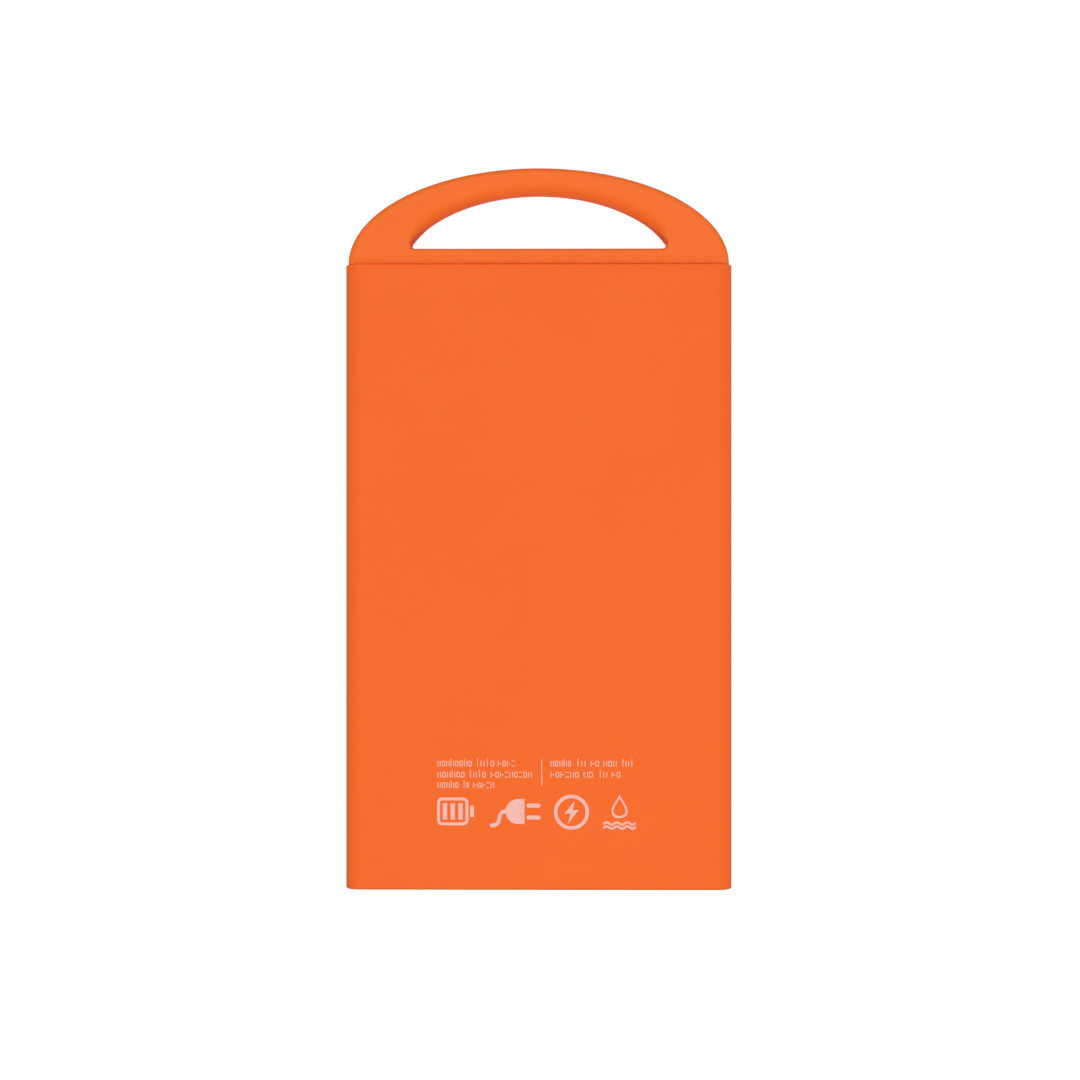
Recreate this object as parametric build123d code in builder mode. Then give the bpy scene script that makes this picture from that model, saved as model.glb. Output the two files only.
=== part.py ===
from build123d import *
import os

# Slim pocket power bank with a carrying handle.
# It lies on its plain face. X is the width, +Y points to the handle, +Z is up
# through the marked face. The origin is the centre of the footprint, on the
# surface the power bank lies on. All dimensions are in millimetres.

# ---------------------------------------------------------------- overall size
sleeve_w = 65.3          # housing width
sleeve_t = 10.0          # housing thickness
sleeve_l = 105.6         # length of the extruded sleeve
sleeve_corner_r = 2.8    # outer corner radius of the section
sleeve_wall = 1.2
sleeve_inner_r = 1.6
sleeve_rim_r = 0.35      # rounding of the two sawn ends
handle_rise = 16.3       # handle height above the sleeve rim

total_l = sleeve_l + handle_rise
y_port = -total_l / 2            # sawn end of the sleeve at the ports
y_seam = y_port + sleeve_l       # sawn end of the sleeve under the handle
z_mid = sleeve_t / 2
bore_w = sleeve_w - 2 * sleeve_wall
bore_t = sleeve_t - 2 * sleeve_wall

# ---------------------------------------------------------------------- handle
handle_t = 8.0                   # thinner than the sleeve by 1 mm a side
handle_half_w = 32.19            # half width where it meets the rim
handle_edge_r = 0.8              # rounding of the outer edge
opening_half_w = 24.18           # half axes of the finger opening's arch
opening_half_h = 14.58
opening_drop = 2.62              # centre of the arch's ellipse below the rim
opening_edge_r = 3.0             # soft grip edge round the arch
bar_h = 2.67                     # straight bar between opening and rim
bar_edge_r = 0.5
bar_half_w = 27.0
plug_w = bore_w - 0.3            # spigot that enters the sleeve
plug_t = bore_t - 0.3
plug_r = 1.45
plug_l = 5.0
z_handle = z_mid - handle_t / 2
y_plug = y_seam - plug_l

# -------------------------------------------------------------- port end cap
cap_recess = 0.8                 # cap face behind the sawn end
cap_plate = 2.0
cap_pocket_wall = 0.8            # sleeve wall left round the cap
cap_clear = 0.1
cap_lip = 1.05                   # locating lip inside the bore
y_cap_out = y_port + cap_recess
y_cap_in = y_cap_out + cap_plate
cap_w = sleeve_w - 2 * cap_pocket_wall - 2 * cap_clear
cap_t = sleeve_t - 2 * cap_pocket_wall - 2 * cap_clear
cap_r = 1.9

# --------------------------------------------------------------------- chassis
chassis_w = 62.5
chassis_t = 7.4
chassis_r = 1.5
chassis_floor = 0.7
chassis_wall = 1.0
chassis_end_wall = 1.2
boss_x = 26.1                    # inner face of the two screw bosses
y_chassis = y_cap_in + cap_lip + 0.1
y_chassis_end = y_plug
y_tray_end = y_chassis_end - chassis_end_wall
z_floor_out = z_mid - chassis_t / 2
z_floor = z_floor_out + chassis_floor
z_chassis_top = z_mid + chassis_t / 2

# ------------------------------------------------------------------- main board
board_t = 0.8
z_board = 2.8
z_board_top = z_board + board_t
y_board_front = -57.6
y_board_back = -43.6
y_board_step = -49.7
board_front_half = 25.9
board_back_half = 29.5

# ------------------------------------------------------------------------ ports
usb_x = 5.0
usb_w, usb_h, usb_sheet = 13.1, 5.72, 0.3
usb_l = 14.0
y_usb = -59.6
micro_x = 19.0
micro_w, micro_h, micro_sheet = 7.5, 2.7, 0.25
micro_l = 5.2
y_micro = -59.5
z_micro = z_board_top + micro_h / 2

# ------------------------------------------------- indicator lights and button
led_x = [-13.9, -11.3, -8.7, -6.1]
guide_r = 0.62
guide_hole_r = 0.7
button_x = -21.0
button_w, button_h = 6.0, 2.6
button_clear = 0.15
button_proud = 0.7
button_travel = 0.3

# ---------------------------------------------------------------------- battery
cell_w = 59.0
cell_t = 6.2
pad_t = 0.2
y_cell_end = 36.85
y_cell_front = -38.75
terrace_l = 3.45
z_cell = z_floor + pad_t
z_cell_top = z_cell + cell_t

# -------------------------------------------------------------------- fasteners
cap_screw_x = 28.6
handle_screw_x = 28.4
board_screw_x = 26.5
board_screw_y = -46.8
screw_r = 0.8
pilot_r = 0.82

os.makedirs("parts", exist_ok=True)


def section(y, z=0.0, x=0.0):
    """Cross-section plane at y. Its own axes run along X and Z, and it faces -Y."""
    return Plane(origin=(x, y, z), x_dir=(1, 0, 0), z_dir=(0, -1, 0))


# ================================================================ outer sleeve
# Extruded aluminium tube. Both ends are sawn square and broken by a small
# radius. The port end is counterbored so that the end cap sits on a ledge.
with BuildPart() as outer_sleeve:
    with BuildSketch(section(y_port, z_mid)):
        RectangleRounded(sleeve_w, sleeve_t, sleeve_corner_r)
    extrude(amount=-sleeve_l)
    sawn_ends = outer_sleeve.faces().sort_by(Axis.Y)
    fillet(sawn_ends[0].edges() + sawn_ends[-1].edges(), sleeve_rim_r)
    with BuildSketch(section(y_port, z_mid)):
        RectangleRounded(bore_w, bore_t, sleeve_inner_r)
    extrude(amount=-sleeve_l, mode=Mode.SUBTRACT)
    with BuildSketch(section(y_port, z_mid)):
        RectangleRounded(sleeve_w - 2 * cap_pocket_wall,
                         sleeve_t - 2 * cap_pocket_wall,
                         sleeve_corner_r - cap_pocket_wall)
    extrude(amount=-(cap_recess + cap_plate), mode=Mode.SUBTRACT)
outer_sleeve.part.label = "outer_sleeve"
export_step(outer_sleeve.part, "parts/outer_sleeve.step")

# ================================================================== handle cap
# Half-elliptical carrying handle with a finger opening, moulded in one piece
# with the spigot that closes the sleeve.
with BuildPart() as handle_cap:
    with BuildSketch(Plane.XY.offset(z_handle)):
        with BuildLine():
            EllipticalCenterArc((0, y_seam), handle_half_w, handle_rise, 0, arc_size=180)
            Line((-handle_half_w, y_seam), (handle_half_w, y_seam))
        make_face()
        with BuildLine():
            EllipticalCenterArc((0, y_seam - opening_drop), opening_half_w, opening_half_h, 0,
                                arc_size=180)
            Line((-opening_half_w, y_seam - opening_drop), (opening_half_w, y_seam - opening_drop))
        make_face(mode=Mode.SUBTRACT)
    extrude(amount=handle_t)
    rounds = handle_cap.edges().filter_by(GeomType.ELLIPSE)
    outer_round = rounds.filter_by(lambda e: e.length > 60)
    inner_round = rounds.filter_by(lambda e: e.length <= 60)
    fillet(outer_round, handle_edge_r)
    fillet(inner_round, opening_edge_r)
    # straight bar under the finger opening
    with BuildSketch(Plane.YZ.offset(-bar_half_w)) as bar_profile:
        with Locations((y_seam + bar_h / 2, z_mid)):
            Rectangle(bar_h, handle_t)
        fillet(bar_profile.vertices().group_by(Axis.Y)[-1], bar_edge_r)
    extrude(amount=2 * bar_half_w)
    # spigot, hollow between its two screw bosses
    with BuildSketch(section(y_plug, z_mid)):
        RectangleRounded(plug_w, plug_t, plug_r)
    extrude(amount=-plug_l)
    with BuildSketch(section(y_plug, z_mid)):
        RectangleRounded(51.0, 4.7, 0.8)
    extrude(amount=-3.75, mode=Mode.SUBTRACT)
    with BuildSketch(section(y_plug, z_mid)):
        with Locations((-handle_screw_x, 0), (handle_screw_x, 0)):
            Circle(pilot_r)
    extrude(amount=-4.4, mode=Mode.SUBTRACT)
handle_cap.part.label = "handle_cap"
export_step(handle_cap.part, "parts/handle_cap.step")

# ================================================================ port end cap
# Flat plate on the sleeve's ledge, with a lip inside the bore, two screw
# posts, the two socket openings, four light holes and the button opening.
with BuildPart() as port_end_cap:
    with BuildSketch(section(y_cap_out, z_mid)):
        RectangleRounded(cap_w, cap_t, cap_r)
    extrude(amount=-cap_plate)
    cap_front = port_end_cap.faces().sort_by(Axis.Y)[0]
    fillet(cap_front.edges(), 0.2)
    with BuildSketch(section(y_cap_in, z_mid)):
        RectangleRounded(bore_w - 0.3, bore_t - 0.3, 1.45)
        RectangleRounded(bore_w - 2.3, bore_t - 2.3, 0.45, mode=Mode.SUBTRACT)
        with Locations((-cap_screw_x, 0), (cap_screw_x, 0)):
            Circle(1.9)
    extrude(amount=-cap_lip)
    with BuildSketch(section(y_cap_out, z_mid)):
        with Locations((micro_x, z_micro - z_mid)):
            RectangleRounded(micro_w + 0.6, micro_h + 0.6, 0.9)
        with Locations(*[(x, 0) for x in led_x]):
            Circle(guide_hole_r)
        with Locations((button_x, 0)):
            SlotOverall(button_w + 2 * button_clear, button_h + 2 * button_clear)
    extrude(amount=-cap_plate, mode=Mode.SUBTRACT)
    with BuildSketch(section(y_cap_out, z_mid)):
        with Locations((usb_x, 0)):
            RectangleRounded(usb_w + 0.5, usb_h + 0.5, 0.6)
    extrude(amount=-(cap_plate + cap_lip), mode=Mode.SUBTRACT)
    mouths = port_end_cap.faces().filter_by(Plane.XZ).sort_by(Axis.Y)[0].inner_wires()
    chamfer([e for w in mouths if w.length > 12 for e in w.edges()], 0.25)
    with Locations(*[Location(Plane((x, y_cap_out, z_mid), x_dir=(1, 0, 0), z_dir=(0, -1, 0)))
                     for x in (-cap_screw_x, cap_screw_x)]):
        CounterSinkHole(0.9, 1.62, depth=cap_plate + cap_lip + 0.1, counter_sink_angle=90)
port_end_cap.part.label = "port_end_cap"
export_step(port_end_cap.part, "parts/port_end_cap.step")

# ============================================================== end cap screws
# Two countersunk cross-head screws that clamp the end cap to the chassis.
with BuildPart() as end_cap_screws:
    with Locations((-cap_screw_x, y_cap_out, z_mid), (cap_screw_x, y_cap_out, z_mid)):
        Cone(0.8, 1.55, 0.75, rotation=(90, 0, 0), align=(Align.CENTER, Align.CENTER, Align.MAX))
        Cylinder(screw_r, 8.2, rotation=(90, 0, 0), align=(Align.CENTER, Align.CENTER, Align.MAX))
    with Locations((-cap_screw_x, y_cap_out, z_mid), (cap_screw_x, y_cap_out, z_mid)):
        Box(1.9, 0.9, 0.36, mode=Mode.SUBTRACT)
        Box(0.36, 0.9, 1.9, mode=Mode.SUBTRACT)
end_cap_screws.part.label = "end_cap_screws"
export_step(end_cap_screws.part, "parts/end_cap_screws.step")

# =============================================================== inner chassis
# Tray that slides into the sleeve. It carries the cell and the board, is
# screwed to the handle spigot at one end and takes the end cap screws at the
# other.
with BuildPart() as inner_chassis:
    with BuildSketch(section(y_chassis, z_mid)):
        RectangleRounded(chassis_w, chassis_t, chassis_r)
    extrude(amount=-(y_chassis_end - y_chassis))
    # tray interior, open at the top and at the port end
    with BuildSketch(Plane.XY.offset(z_floor)):
        with BuildLine():
            Polyline((-boss_x, y_chassis), (boss_x, y_chassis), (boss_x, -50.0),
                     (chassis_w / 2 - chassis_wall, -50.0),
                     (chassis_w / 2 - chassis_wall, y_tray_end),
                     (-chassis_w / 2 + chassis_wall, y_tray_end),
                     (-chassis_w / 2 + chassis_wall, -50.0),
                     (-boss_x, -50.0), close=True)
        make_face()
    extrude(amount=chassis_t, mode=Mode.SUBTRACT)
    # cell stop rib, board posts and board rests
    with BuildSketch(Plane.XY.offset(z_floor)):
        with Locations((0, -43.0)):
            Rectangle(2 * (chassis_w / 2 - chassis_wall), 0.6)
    extrude(amount=1.3)
    with BuildSketch(Plane.XY.offset(z_floor)):
        with Locations((-board_screw_x, board_screw_y), (board_screw_x, board_screw_y)):
            Circle(1.6)
        with Locations((-15.8, -51.0), (24.3, -51.0)):
            Rectangle(0.9, 11.0)
    extrude(amount=z_board - z_floor)
    with BuildSketch(Plane.XY.offset(z_board)):
        with Locations((-board_screw_x, board_screw_y), (board_screw_x, board_screw_y)):
            Circle(0.62)
    extrude(amount=-1.15, mode=Mode.SUBTRACT)
    # pilot holes for the end cap screws, clearance holes for the handle screws
    with BuildSketch(section(y_chassis, z_mid)):
        with Locations((-cap_screw_x, 0), (cap_screw_x, 0)):
            Circle(pilot_r)
    extrude(amount=-6.4, mode=Mode.SUBTRACT)
    with BuildSketch(section(y_tray_end, z_mid)):
        with Locations((-handle_screw_x, 0), (handle_screw_x, 0)):
            Circle(0.95)
    extrude(amount=-chassis_end_wall, mode=Mode.SUBTRACT)
inner_chassis.part.label = "inner_chassis"
export_step(inner_chassis.part, "parts/inner_chassis.step")

# =============================================================== handle screws
# Two pan-head screws through the chassis end wall into the handle spigot.
with BuildPart() as handle_screws:
    with Locations((-handle_screw_x, y_tray_end, z_mid), (handle_screw_x, y_tray_end, z_mid)):
        Cylinder(1.4, 0.9, rotation=(90, 0, 0), align=(Align.CENTER, Align.CENTER, Align.MIN))
        Cylinder(screw_r, 5.0, rotation=(90, 0, 0), align=(Align.CENTER, Align.CENTER, Align.MAX))
    with Locations((-handle_screw_x, y_tray_end - 0.9, z_mid),
                   (handle_screw_x, y_tray_end - 0.9, z_mid)):
        Box(1.7, 0.9, 0.36, mode=Mode.SUBTRACT)
        Box(0.36, 0.9, 1.7, mode=Mode.SUBTRACT)
handle_screws.part.label = "handle_screws"
export_step(handle_screws.part, "parts/handle_screws.step")

# ================================================================ battery cell
# Lithium-polymer pouch: flat body with drawn, rounded edges and the sealed
# terrace that its two tabs leave from.
with BuildPart() as battery_cell:
    with BuildSketch(Plane.XY.offset(z_cell)):
        with Locations((0, (y_cell_end + y_cell_front) / 2)):
            RectangleRounded(cell_w, y_cell_end - y_cell_front, 2.0)
    extrude(amount=cell_t)
    fillet(battery_cell.faces().sort_by(Axis.Z)[-1].edges(), 1.2)
    fillet(battery_cell.faces().sort_by(Axis.Z)[0].edges(), 0.8)
    with BuildSketch(Plane.XY.offset(5.1)):
        with Locations((0, y_cell_front - terrace_l / 2 + 0.5)):
            Rectangle(cell_w - 4.0, terrace_l + 1.0)
    extrude(amount=0.4)
battery_cell.part.label = "battery_cell"
export_step(battery_cell.part, "parts/battery_cell.step")

# Welded tabs on the terrace: aluminium for plus, nickel for minus.
with BuildPart() as cell_tab_positive:
    with BuildSketch(Plane.XY.offset(5.5)):
        with Locations((-8.0, y_cell_front - 1.55)):
            Rectangle(5.0, 3.1)
    extrude(amount=0.15)
cell_tab_positive.part.label = "cell_tab_positive"
export_step(cell_tab_positive.part, "parts/cell_tab_positive.step")

with BuildPart() as cell_tab_negative:
    with BuildSketch(Plane.XY.offset(5.5)):
        with Locations((8.0, y_cell_front - 1.55)):
            Rectangle(5.0, 3.1)
    extrude(amount=0.15)
cell_tab_negative.part.label = "cell_tab_negative"
export_step(cell_tab_negative.part, "parts/cell_tab_negative.step")

# ============================================================ protection board
# Narrow board on the tabs that cuts the cell off on short circuit, over-charge
# and deep discharge.
with BuildPart() as protection_board:
    with BuildSketch(Plane.XY.offset(5.65)):
        with Locations((-4.0, y_cell_front - 1.6)):
            Rectangle(42.0, 2.9)
    extrude(amount=0.6)
protection_board.part.label = "protection_board"
export_step(protection_board.part, "parts/protection_board.step")

with BuildPart() as protection_ic:
    with BuildSketch(Plane.XY.offset(6.25)):
        with Locations((1.5, y_cell_front - 1.6)):
            Rectangle(2.9, 1.6)
    extrude(amount=1.1)
    chamfer(protection_ic.faces().sort_by(Axis.Z)[-1].edges(), 0.12)
protection_ic.part.label = "protection_ic"
export_step(protection_ic.part, "parts/protection_ic.step")

with BuildPart() as protection_mosfet:
    with BuildSketch(Plane.XY.offset(6.25)):
        with Locations((-5.5, y_cell_front - 1.6)):
            Rectangle(4.4, 2.4)
    extrude(amount=1.0)
    chamfer(protection_mosfet.faces().sort_by(Axis.Z)[-1].edges(), 0.12)
protection_mosfet.part.label = "protection_mosfet"
export_step(protection_mosfet.part, "parts/protection_mosfet.step")

# Polyimide tape folded over the protection board, with two holes for the leads.
lead_x = [-22.5, -19.0]
lead_r = 0.6
z_lead = 6.25 + lead_r
with BuildPart() as terminal_tape:
    with BuildSketch(Plane.YZ.offset(-26.0)):
        with BuildLine():
            Polyline((-42.45, 5.2), (-42.35, 5.2), (-42.35, 8.2), (-38.9, 8.2),
                     (-38.9, 8.3), (-42.45, 8.3), close=True)
        make_face()
    extrude(amount=52.0)
    with BuildSketch(section(-42.6)):
        with Locations(*[(x, z_lead) for x in lead_x]):
            Circle(lead_r + 0.1)
    extrude(amount=-0.4, mode=Mode.SUBTRACT)
terminal_tape.part.label = "terminal_tape"
export_step(terminal_tape.part, "parts/terminal_tape.step")

# Pressure-sensitive pad under the cell.
with BuildPart() as cell_adhesive_pad:
    with BuildSketch(Plane.XY.offset(z_floor)):
        with Locations((0, -1.0)):
            RectangleRounded(46.0, 64.0, 1.0)
    extrude(amount=pad_t)
cell_adhesive_pad.part.label = "cell_adhesive_pad"
export_step(cell_adhesive_pad.part, "parts/cell_adhesive_pad.step")

# Foam strip between the cell and the chassis end wall.
with BuildPart() as cell_end_foam:
    with BuildSketch(Plane.XY.offset(z_floor + 0.3)):
        with Locations((0, (y_cell_end + y_tray_end) / 2)):
            Rectangle(52.0, y_tray_end - y_cell_end)
    extrude(amount=5.8)
cell_end_foam.part.label = "cell_end_foam"
export_step(cell_end_foam.part, "parts/cell_end_foam.step")

# Insulating film between the cell and board and the metal sleeve.
with BuildPart() as insulation_film:
    with BuildSketch(Plane.XY.offset(z_cell_top)):
        with Locations((0, -9.9)):
            RectangleRounded(52.0, 93.0, 1.0)
    extrude(amount=0.1)
insulation_film.part.label = "insulation_film"
export_step(insulation_film.part, "parts/insulation_film.step")

# ================================================================ battery leads
# Two short insulated leads from the protection board down to the main board.
# Each is straight runs joined by tangent arcs.
lead_pts_y = [-40.6, -43.9, -46.6, -49.2]
lead_bend_r = 2.6
z_lead_low = z_board_top + lead_r
for name, x in zip(("positive_lead", "negative_lead"), lead_x):
    with BuildPart() as lead:
        with BuildLine():
            lead_path = FilletPolyline((x, lead_pts_y[0], z_lead), (x, lead_pts_y[1], z_lead),
                                       (x, lead_pts_y[2], z_lead_low), (x, lead_pts_y[3], z_lead_low),
                                       radius=[lead_bend_r, lead_bend_r])
        with BuildSketch(Plane(origin=(x, lead_pts_y[0], z_lead), x_dir=(1, 0, 0),
                               z_dir=(0, -1, 0))):
            Circle(lead_r)
        sweep()
    print(name, "bend radius", lead_bend_r, "length", round(lead_path.length, 2),
          "volume ratio", round(lead.part.volume / (3.14159265 * lead_r ** 2 * lead_path.length), 4))
    lead.part.label = name
    export_step(lead.part, f"parts/{name}.step")

# ================================================================== main board
# Notched at the front corners for the screw bosses and cut out round the
# mid-mounted output socket.
with BuildPart() as main_board:
    with BuildSketch(Plane.XY.offset(z_board)):
        with BuildLine():
            Polyline((-board_front_half, y_board_front), (board_front_half, y_board_front),
                     (board_front_half, y_board_step), (board_back_half, y_board_step),
                     (board_back_half, y_board_back), (-board_back_half, y_board_back),
                     (-board_back_half, y_board_step), (-board_front_half, y_board_step),
                     close=True)
        make_face()
        with Locations((usb_x, -51.5)):
            Rectangle(usb_w + 0.6, 12.2, mode=Mode.SUBTRACT)
        with Locations((-board_screw_x, board_screw_y), (board_screw_x, board_screw_y)):
            Circle(0.75, mode=Mode.SUBTRACT)
    extrude(amount=board_t)
main_board.part.label = "main_board"
export_step(main_board.part, "parts/main_board.step")

with BuildPart() as board_screws:
    with Locations((-board_screw_x, board_screw_y, z_board_top),
                   (board_screw_x, board_screw_y, z_board_top)):
        Cylinder(1.25, 0.7, align=(Align.CENTER, Align.CENTER, Align.MIN))
        Cylinder(0.6, 1.85, align=(Align.CENTER, Align.CENTER, Align.MAX))
    with Locations((-board_screw_x, board_screw_y, z_board_top + 0.7),
                   (board_screw_x, board_screw_y, z_board_top + 0.7)):
        Box(1.5, 0.3, 0.7, mode=Mode.SUBTRACT)
        Box(0.3, 1.5, 0.7, mode=Mode.SUBTRACT)
board_screws.part.label = "board_screws"
export_step(board_screws.part, "parts/board_screws.step")

# ========================================================= output socket (USB A)
# Folded sheet shell with a closed back and four solder ears on the board.
with BuildPart() as usb_a_shell:
    with BuildSketch(section(y_usb, z_mid, usb_x)):
        RectangleRounded(usb_w, usb_h, 0.45)
    extrude(amount=-usb_l)
    with BuildSketch(section(y_usb, z_mid, usb_x)):
        RectangleRounded(usb_w - 2 * usb_sheet, usb_h - 2 * usb_sheet, 0.2)
    extrude(amount=-(usb_l - usb_sheet), mode=Mode.SUBTRACT)
    with BuildSketch(Plane.XY.offset(z_board_top)):
        with Locations(*[(usb_x + s * (usb_w / 2 + 0.5), y) for s in (-1, 1)
                         for y in (-55.2, -48.6)]):
            Rectangle(1.1, 2.0)
    extrude(amount=0.3)
usb_a_shell.part.label = "usb_a_shell"
export_step(usb_a_shell.part, "parts/usb_a_shell.step")

# Insulator: rear block and the tongue that carries the contacts.
z_tongue = 5.25
with BuildPart() as usb_a_tongue:
    with BuildSketch(section(-49.6, z_mid, usb_x)):
        RectangleRounded(usb_w - 2 * usb_sheet - 0.1, usb_h - 2 * usb_sheet - 0.1, 0.2)
    extrude(amount=-(49.6 - 45.95))
    with BuildSketch(Plane.XY.offset(z_tongue)):
        with Locations((usb_x, (-58.4 - 49.6) / 2)):
            Rectangle(11.1, 58.4 - 49.6)
    extrude(amount=1.84)
    tip = usb_a_tongue.edges().filter_by(Axis.X).group_by(Axis.Y)[0]
    chamfer(tip, 0.35)
usb_a_tongue.part.label = "usb_a_tongue"
export_step(usb_a_tongue.part, "parts/usb_a_tongue.step")

with BuildPart() as usb_a_contacts:
    with BuildSketch(Plane.XY.offset(z_tongue - 0.15)):
        with Locations(*[(usb_x + dx, (-57.7 - 49.6) / 2) for dx in (-3.5, -1.0, 1.0, 3.5)]):
            Rectangle(1.0, 57.7 - 49.6)
    extrude(amount=0.15)
usb_a_contacts.part.label = "usb_a_contacts"
export_step(usb_a_contacts.part, "parts/usb_a_contacts.step")

# ===================================================== input socket (micro USB)
with BuildPart() as micro_usb_shell:
    with BuildSketch(section(y_micro, 0, micro_x)):
        with BuildLine():
            Polyline((-2.75, z_board_top), (2.75, z_board_top), (micro_w / 2, z_board_top + 1.1),
                     (micro_w / 2, z_board_top + micro_h), (-micro_w / 2, z_board_top + micro_h),
                     (-micro_w / 2, z_board_top + 1.1), close=True)
        micro_profile = make_face()
    extrude(amount=-micro_l)
    fillet(micro_usb_shell.edges().filter_by(Axis.Y), 0.3)
    with BuildSketch(section(y_micro, 0, micro_x)):
        add(offset(micro_profile, -micro_sheet, mode=Mode.PRIVATE))
    extrude(amount=-(micro_l - micro_sheet), mode=Mode.SUBTRACT)
micro_usb_shell.part.label = "micro_usb_shell"
export_step(micro_usb_shell.part, "parts/micro_usb_shell.step")

with BuildPart() as micro_usb_tongue:
    with BuildSketch(section(-55.8, 0, micro_x)):
        with BuildLine():
            Polyline((-2.45, z_board_top + 0.3), (2.45, z_board_top + 0.3),
                     (micro_w / 2 - 0.35, z_board_top + 1.3),
                     (micro_w / 2 - 0.35, z_board_top + micro_h - 0.3),
                     (-micro_w / 2 + 0.35, z_board_top + micro_h - 0.3),
                     (-micro_w / 2 + 0.35, z_board_top + 1.3), close=True)
        make_face()
    extrude(amount=-(55.8 - 54.6))
    with BuildSketch(section(-58.6, 0, micro_x)):
        with Locations((0, z_board_top + 1.55)):
            Rectangle(3.8, 0.6)
    extrude(amount=-(58.6 - 55.8))
micro_usb_tongue.part.label = "micro_usb_tongue"
export_step(micro_usb_tongue.part, "parts/micro_usb_tongue.step")

with BuildPart() as micro_usb_contacts:
    with BuildSketch(Plane.XY.offset(z_board_top + 1.15)):
        with Locations(*[(micro_x + i * 0.65, (-58.3 - 55.8) / 2) for i in (-2, -1, 0, 1, 2)]):
            Rectangle(0.35, 58.3 - 55.8)
    extrude(amount=0.1)
micro_usb_contacts.part.label = "micro_usb_contacts"
export_step(micro_usb_contacts.part, "parts/micro_usb_contacts.step")

# ============================================================ board components
# Boost inductor: ferrite drum with a copper winding round its waist.
ind_x, ind_y = 18.6, -48.0
with BuildPart() as inductor_core:
    with BuildSketch(Plane.XY.offset(z_board_top)):
        with Locations((ind_x, ind_y)):
            Circle(3.3)
    extrude(amount=0.7)
    with BuildSketch(Plane.XY.offset(z_board_top + 0.7)):
        with Locations((ind_x, ind_y)):
            Circle(1.6)
    extrude(amount=2.3)
    with BuildSketch(Plane.XY.offset(z_board_top + 3.0)):
        with Locations((ind_x, ind_y)):
            Circle(3.3)
    extrude(amount=0.7)
    chamfer(inductor_core.faces().sort_by(Axis.Z)[-1].edges(), 0.15)
inductor_core.part.label = "inductor_core"
export_step(inductor_core.part, "parts/inductor_core.step")

with BuildPart() as inductor_winding:
    with BuildSketch(Plane.XY.offset(z_board_top + 0.75)):
        with Locations((ind_x, ind_y)):
            Circle(2.85)
            Circle(1.65, mode=Mode.SUBTRACT)
    extrude(amount=2.2)
    fillet(inductor_winding.edges().filter_by(lambda e: e.length > 15), 0.25)
inductor_winding.part.label = "inductor_winding"
export_step(inductor_winding.part, "parts/inductor_winding.step")

with BuildPart() as power_controller_ic:
    with BuildSketch(Plane.XY.offset(z_board_top)):
        with Locations((-9.5, -49.5)):
            Rectangle(5.0, 5.0)
    extrude(amount=0.9)
    chamfer(power_controller_ic.faces().sort_by(Axis.Z)[-1].edges(), 0.12)
power_controller_ic.part.label = "power_controller_ic"
export_step(power_controller_ic.part, "parts/power_controller_ic.step")

with BuildPart() as rectifier_diode:
    with BuildSketch(Plane.XY.offset(z_board_top)):
        with Locations((23.6, -45.4)):
            Rectangle(2.6, 2.6)
    extrude(amount=1.9)
rectifier_diode.part.label = "rectifier_diode"
export_step(rectifier_diode.part, "parts/rectifier_diode.step")

with BuildPart() as filter_capacitors:
    with BuildSketch(Plane.XY.offset(z_board_top)):
        with Locations((13.6, -53.2), (13.6, -50.4), (-4.2, -47.0), (-4.2, -50.2), (-4.2, -53.4),
                       (24.4, -51.5)):
            Rectangle(1.6, 2.6)
    extrude(amount=1.4)
filter_capacitors.part.label = "filter_capacitors"
export_step(filter_capacitors.part, "parts/filter_capacitors.step")

with BuildPart() as chip_resistors:
    with BuildSketch(Plane.XY.offset(z_board_top)):
        with Locations((-13.9, -53.6), (-11.3, -53.6), (-8.7, -53.6), (-6.3, -45.6),
                       (-9.0, -45.6), (-11.7, -45.6), (-14.2, -48.0), (-14.2, -50.6)):
            Rectangle(0.8, 1.6)
    extrude(amount=0.5)
chip_resistors.part.label = "chip_resistors"
export_step(chip_resistors.part, "parts/chip_resistors.step")

# ============================================================ indicator lights
with BuildPart() as indicator_leds:
    with BuildSketch(Plane.XY.offset(z_board_top)):
        with Locations(*[(x, -56.2) for x in led_x]):
            Rectangle(1.8, 1.3)
    extrude(amount=1.2)
indicator_leds.part.label = "indicator_leds"
export_step(indicator_leds.part, "parts/indicator_leds.step")

# Clear bar with four pins that carry the light to the cap face.
with BuildPart() as light_guide:
    with BuildSketch(section(y_cap_in + 0.05, 4.7, sum(led_x) / 4)):
        RectangleRounded(9.9, 1.9, 0.3)
    extrude(amount=-1.1)
    with BuildSketch(section(y_cap_in + 0.05, z_mid)):
        with Locations(*[(x, 0) for x in led_x]):
            Circle(guide_r)
    extrude(amount=cap_plate + 0.0)
    tips = light_guide.faces().group_by(Axis.Y)[0]
    fillet([e for f in tips for e in f.edges()], 0.2)
light_guide.part.label = "light_guide"
export_step(light_guide.part, "parts/light_guide.step")

# ================================================================ power button
# Pill-shaped cap, two side ears that stop it behind the end cap, and a short
# stem that rests on the switch plunger. It travels along +Y.
y_flange = y_cap_in + 0.05
y_plunger = -56.85
with BuildPart() as power_button:
    with BuildSketch(section(y_cap_out - button_proud, z_mid, button_x)):
        SlotOverall(button_w, button_h)
    extrude(amount=-(y_flange + 0.7 - (y_cap_out - button_proud)))
    fillet(power_button.faces().sort_by(Axis.Y)[0].edges(), 0.4)
    with BuildSketch(section(y_flange, z_mid, button_x)):
        RectangleRounded(button_w + 2.4, button_h, 0.3)
    extrude(amount=-0.7)
    with BuildSketch(section(y_flange + 0.7, z_mid, button_x)):
        RectangleRounded(2.4, 1.2, 0.2)
    extrude(amount=-(y_plunger - y_flange - 0.7))
power_button.part.label = "power_button"
export_step(power_button.part, "parts/power_button.step")

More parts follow.
